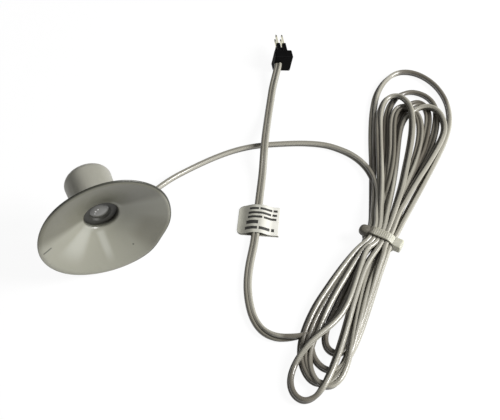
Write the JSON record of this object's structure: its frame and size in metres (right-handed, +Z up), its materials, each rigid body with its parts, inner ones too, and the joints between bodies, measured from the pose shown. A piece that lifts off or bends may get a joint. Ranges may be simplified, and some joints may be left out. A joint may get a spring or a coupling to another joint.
{
  "type": "light sensor",
  "caption": "Window-mounted light sensor: a photodiode head on a clear suction cup, with a flat twin lead wound and tied, a folded label and a small black plug with square pins.",
  "frame": {"origin": "on the table below the middle of the sensor head, which stands on its cup's rim", "axes": "+Z up, -Y out of the suction cup along the head's axis, +X towards the lead's exit and the wound cord"},
  "size_m": [0.1816, 0.167, 0.05],
  "materials": {
    "cup_vinyl": "glossy",
    "housing_white": "satin",
    "ring_grey": "satin",
    "clear_window": "polished",
    "can_steel": "brushed",
    "board_laminate": "satin",
    "core_sheath": "satin",
    "cord_sheath": "satin",
    "tie_nylon": "satin",
    "label_film": "satin",
    "plug_black": "satin",
    "pin_gold": "polished"
  },
  "bodies": {
    "root": {"suction_cup": "cup_vinyl", "sensor_housing": "housing_white", "lens_ring": "ring_grey", "lens": "clear_window", "photodiode": "can_steel", "diode_leg_left": "can_steel", "diode_leg_right": "can_steel", "circuit_board": "board_laminate", "cord_gland": "housing_white", "sensor_core_front": "core_sheath", "sensor_core_rear": "core_sheath", "sensor_lead": "cord_sheath", "cord_hank": "cord_sheath", "plug_lead": "cord_sheath", "cable_tie": "tie_nylon", "cord_label": "label_film", "plug_body": "plug_black", "pin_lower_left": "pin_gold", "pin_lower_right": "pin_gold", "pin_upper_left": "pin_gold", "pin_upper_right": "pin_gold", "plug_core_left": "core_sheath", "plug_core_right": "core_sheath"}
  },
  "joints": []
}
